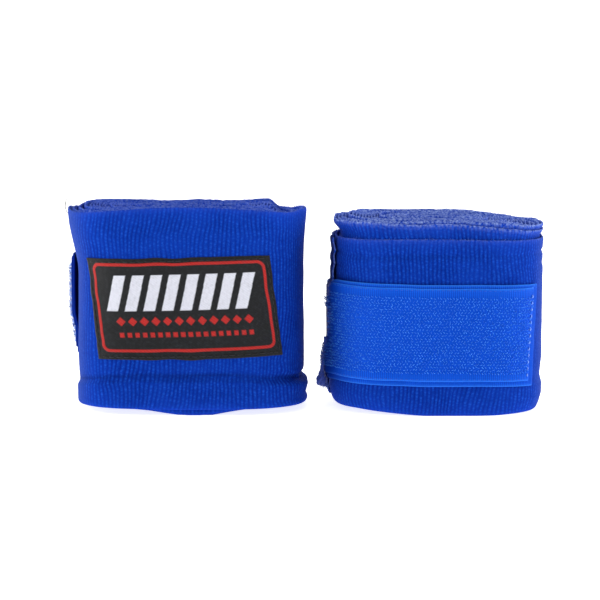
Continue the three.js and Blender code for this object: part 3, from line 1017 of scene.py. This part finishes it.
def make_label(wrap):
    """The woven label: a skin over its motif, with folded ends, and a flat back."""
    columns, rows = 270, 146
    x = np.linspace(-LABEL_HALF, LABEL_HALF, columns)[:, None]
    y = np.linspace(-LABEL_HEIGHT / 2, LABEL_HEIGHT / 2, rows)[None, :]
    x, y = np.broadcast_arrays(x, y)
    wave = 0.28 * wrap.noise(x / 5, y * 0 + 4.5)
    sway = 0.25 * wrap.noise(x * 0 + 8.5, y / 4) * smooth(np.abs(x) / 5 - 3.4)
    red, white = label_masks(x, y)
    edge = np.minimum(LABEL_HALF - np.abs(x), LABEL_HEIGHT / 2 - np.abs(y))
    fold = smooth((LABEL_HALF - np.abs(x)) / 1.2)
    height = 0.16 + 0.06 * np.maximum(red, white) + 0.10 * (1 - fold) - 0.16 * (1 - smooth(edge / 0.4))
    s, z = label_place(wrap, x + sway, y + wave * smooth(1 - edge / 4))
    rest = wrap.puff(s, z) + HALF_THICKNESS + LABEL_REST + 0.10 * wrap.noise(s / 6, z / 6 + 3)
    points = np.stack([wrap.world(s, rest + height, z), wrap.world(s, rest - 0.12, z)]).reshape(-1, 3)
    faces = sheet_faces(columns, rows)
    uv = np.tile(np.stack([x, y], -1).reshape(-1, 2), (2, 1))
    values = {"red": np.stack([red, red * 0]).ravel(), "white": np.stack([white, white * 0]).ravel()}
    made = make_piece(wrap, "woven_label", "label", (points, faces, uv, values), ["label"])


def make_label_stitching(wrap):
    def line_at(x, y):
        s, z = label_place(wrap, x, y)
        return surface_line(wrap, s, wrap.puff(s, z) + HALF_THICKNESS + LABEL_REST + 0.2, z)

    inset = 0.8
    wide, high = LABEL_HALF - inset, LABEL_HEIGHT / 2 - inset
    corners = [(-wide, -high), (wide, -high), (wide, high), (-wide, high), (-wide, -high)]
    seams = corner_seams(corners, 120, line_at)
    border = stitches(seams, 1.9 * MM, 1.45 * MM, 0.14 * MM, wrap.seed + 2)
    make_piece(wrap, "label_stitches", "black", border, ["label_stitching"])


# ---------------------------------------------------------------- the thumb loop


def make_thumb_loop(wrap):
    """A webbing folded in two: a flat band that goes up, round and down again."""
    low, high = box_mm(wrap.name + "_thumb_loop")
    centre = (low + high) / 2
    half, rest = 0.42, 0.55
    bend = high[2] - half - rest
    up = [(-rest, z) for z in np.linspace(low[2], bend, 60)]
    over = [(-rest * math.cos(a), bend + rest * math.sin(a)) for a in np.linspace(0.2, math.pi - 0.2, 9)]
    down = [(rest, z) for z in np.linspace(bend, low[2], 60)]
    line = np.array(up + over + down)
    tangent = np.gradient(line, axis=0)
    tangent /= np.linalg.norm(tangent, axis=1, keepdims=True)
    normal = np.stack([-tangent[:, 1], tangent[:, 0]], -1)
    arc = arc_lengths(line)
    width = (high[0] - low[0]) / 2
    ring = cross_section(np.linspace(0, 1, 25))
    across = (ring[:, 0] * 2 - 1) * width
    ridge = 0.05 * np.cos(TAU * across / 1.5)
    round_off = np.clip(1 - (width - np.abs(across)) / 0.5, 0, 1) ** 2
    thickness = ring[:, 1] * (half * (1 - 0.5 * round_off) + ridge)
    plan = line[:, None] + normal[:, None] * thickness[None, :, None]
    x = np.broadcast_to(centre[0] + across[None], plan.shape[:2])
    points = np.stack([x, centre[1] + plan[..., 0], plan[..., 1]], -1).reshape(-1, 3) * MM
    uv = np.stack(np.broadcast_arrays(arc[:, None], across[None]), -1).reshape(-1, 2)
    faces = strip_faces(len(line), len(ring))
    # painted highlight along the webbing's rounded edges
    edge = np.broadcast_to(round_off[None], plan.shape[:2]).ravel() * 0.4
    mesh = (points, faces, uv, {"edge": edge})
    made = make_piece(
        wrap, "thumb_webbing", "webbing", mesh, ["thumb_loop"], "thumb_pull"
    )
    make_bartack(wrap, centre[1] + wrap.facing * 1.06)


def make_bartack(wrap, face):
    """Close zigzag stitches through both ends of the webbing."""
    low, high = box_mm(wrap.name + "_thumb_loop_bartack")
    count = 46
    x = np.linspace(low[0], high[0], count)
    z = np.where(np.arange(count) % 2, high[2], low[2])
    line = np.stack([x, np.full(count, face), z], -1)[:, None]
    steps = np.linspace(0, 1, 6)[None, :, None]
    centres = line[:-1] * (1 - steps) + line[1:] * steps
    centres[..., 1] += wrap.facing * 0.12 * np.sin(math.pi * steps[..., 0])
    away = np.tile([0.0, float(wrap.facing), 0.0], (count - 1, 1))
    zigzag = tubes(centres * MM, away, 0.12 * MM)
    make_piece(
        wrap, "bartack_stitches", "blue", zigzag, ["thumb_loop_bartack"], "thumb_pull"
    )


# ---------------------------------------------------------------- loose fibres


def make_fibres(wrap, name, s, offset, z, direction, length, radius, seed):
    """Short curled hairs that start on the cloth."""
    rng = np.random.default_rng(seed)
    start = wrap.world(s, offset, z)
    steps = np.linspace(0, 1, 5)[None, :, None]
    curl = rng.normal(0, 0.5, (len(start), 1, 3))
    sag = rng.normal(0, 0.5, (len(start), 1, 3))
    path = direction[:, None] * steps + curl * steps**2 + sag * steps * (1 - steps)
    centres = start[:, None] + length[:, None, None] * MM * path
    across = rng.normal(0, 1, (len(start), 3))
    taper = np.linspace(1.0, 0.45, 5) * radius * MM
    make_piece(wrap, name, "fuzz", tubes(centres, across, taper))


def make_fuzz(wrap):
    """Hairs along the bandage's upper edge."""
    rng = np.random.default_rng(wrap.seed + 8)
    count = 5000
    share = 1 - rng.random(count) ** 1.6
    s = share * wrap.end_s
    low, high = wrap.edges(s)
    side = rng.choice([-1.0, 1.0], count)
    z = high - rng.random(count) * 0.3
    offset = wrap.puff(s, z) + side * HALF_THICKNESS * 0.6
    up = np.tile([0.0, 0.0, 0.7], (count, 1)) + rng.normal(0, 0.55, (count, 3))
    length = rng.uniform(0.15, 0.5, count)
    make_fibres(wrap, "edge_fibres", s, offset, z, up, length, 0.026, wrap.seed + 9)


def make_stray_thread(wrap):
    """A loose end of thread at the roll's top west corner."""
    west = wrap.centre[0] - wrap.half - wrap.reach(wrap.start) - 2.2
    bend = [
        (1.2, 0.0, 48.8), (-0.4, 0.2, 49.0), (-1.3, 0.4, 49.8), (-1.6, 0.4, 51.1), (-1.4, 0.3, 52.4),
        (-1.2, 0.2, 53.0),
    ]
    line = np.array([(west + x, wrap.centre[1] + y, z) for x, y, z in bend])
    steps = np.linspace(0, len(line) - 1, 25)
    fine = along(steps, np.arange(len(line)), line)
    fine[1:-1] = (fine[:-2] + fine[1:-1] * 2 + fine[2:]) / 4
    thread = tubes(fine[None] * MM, np.array([[0.0, 1.0, 0.0]]), 0.1 * MM)
    make_piece(wrap, "stray_thread", "grey", thread)


def twist_line(wrap, t):
    """Middle of the drawn-out corner: arc length, offset and height for t from 0 to 1."""
    root = wrap.tape_centre(wrap.last) - LOOP_WIDTH / 2
    s = wrap.s_at(wrap.last + HEM_ANGLE) - 3.6 + 1.9 * t
    offset = 2.1 + 1.2 * smooth(t / 0.8) - 1.3 * smooth((t - 0.84) / 0.16)
    z = root + 9.6 - 14.0 * t + 1.2 * smooth((t - 0.82) / 0.18)
    return s, offset, z


def make_frayed_corner(wrap):
    """The lower corner of the folded end, drawn out into a twist of strands and loose yarn."""
    rng = np.random.default_rng(wrap.seed + 15)
    t = np.linspace(0, 1, 60)[None, :]
    s, offset, z = twist_line(wrap, t)
    thick = 0.34 + hump(t, 0.79, 0.13)
    thick = thick * (1 - 0.8 * smooth((t - 0.86) / 0.14))
    phase = np.arange(4)[:, None] * TAU / 4 + 15 * t
    spread = 0.62 * thick
    centres = wrap.world(s + spread * np.cos(phase), offset + spread * np.sin(phase), z + 0 * phase)
    strands = tubes(centres, np.tile([0.3, 1.0, 0.2], (4, 1)), (0.14 + 0.38 * thick) * MM, 6)
    make_piece(wrap, "hem_twist", "hem_yarn", strands)
    count = 260
    s, offset, z = twist_line(wrap, 1 - 0.8 * rng.random(count) ** 1.5)
    spread = rng.normal(0, 0.4, (2, count))
    away = rng.normal(0, 0.8, (count, 3)) + [-0.4, -0.2, -0.2]
    length = rng.uniform(0.3, 1.0, count)
    s, offset = s + spread[0], offset + spread[1]
    make_fibres(wrap, "hem_hairs", s, offset, z, away, length, 0.035, wrap.seed + 3)


# ---------------------------------------------------------------- stage, light and camera


def make_stage():
    """A pale floor that curves up into a backdrop."""
    bend = [(1.5 + 0.8 * math.sin(a), 0.8 - 0.8 * math.cos(a)) for a in np.linspace(0, math.pi / 2, 24)]
    profile = [(-3.0, 0.0), (0.0, 0.0), *bend, (2.3, 4.0)]
    points = np.array([(x, y, z) for y, z in profile for x in (-4.0, 4.0)])
    faces = np.array([(2 * i, 2 * i + 1, 2 * i + 3, 2 * i + 2) for i in range(len(profile) - 1)])
    make_mesh("studio_floor", floor_material(), points, faces)


def area_light(name, place, target, size, power):
    data = bpy.data.lights.new(name, "AREA")
    data.shape = "RECTANGLE"
    data.size, data.size_y = size
    data.energy = power
    lamp = bpy.data.objects.new(name, data)
    bpy.context.collection.objects.link(lamp)
    lamp.location = place
    aim = Vector(target) - Vector(place)
    lamp.rotation_euler = aim.to_track_quat("-Z", "Y").to_euler()


def make_light():
    world = bpy.data.worlds.new("studio")
    bpy.context.scene.world = world
    world.use_nodes = True
    sky = world.node_tree.nodes["Background"]
    sky.inputs["Color"].default_value = (1, 1, 1, 1)
    sky.inputs["Strength"].default_value = 0.31
    area_light("side_left", (-0.72, -0.06, 0.25), (-0.03, 0, 0.025), (0.5, 0.6), 4.2)
    area_light("side_right", (0.72, -0.06, 0.25), (0.03, 0, 0.025), (0.5, 0.6), 4.2)
    area_light("front", (0.0, -1.1, 0.7), (0, 0, 0.025), (1.2, 0.8), 3.0)
    area_light("top", (0.0, 0.2, 1.2), (0, 0, 0.0), (1.2, 1.2), 4.0)


def make_camera():
    data = bpy.data.cameras.new("camera")
    data.lens, data.sensor_width = CAMERA_LENS, 36.0
    data.clip_start, data.clip_end = 0.05, 20.0
    camera = bpy.data.objects.new("camera", data)
    bpy.context.collection.objects.link(camera)
    camera.location = CAMERA_PLACE
    camera.rotation_euler = (math.radians(90 - CAMERA_DIP), 0, 0)
    bpy.context.scene.camera = camera


def make_wrap(name):
    wrap = Winding(name)
    make_bandage(wrap)
    make_hem(wrap)
    make_closure(wrap)
    make_hook_stitching(wrap)
    make_base_stitching(wrap)
    make_label(wrap)
    make_label_stitching(wrap)
    make_thumb_loop(wrap)
    make_fuzz(wrap)
    if name == "left":
        make_stray_thread(wrap)
    else:
        make_frayed_corner(wrap)


make_camera()
make_stage()
make_light()
bpy.context.scene.view_settings.view_transform = "Standard"
for wrap_name in WRAPS:
    make_wrap(wrap_name)
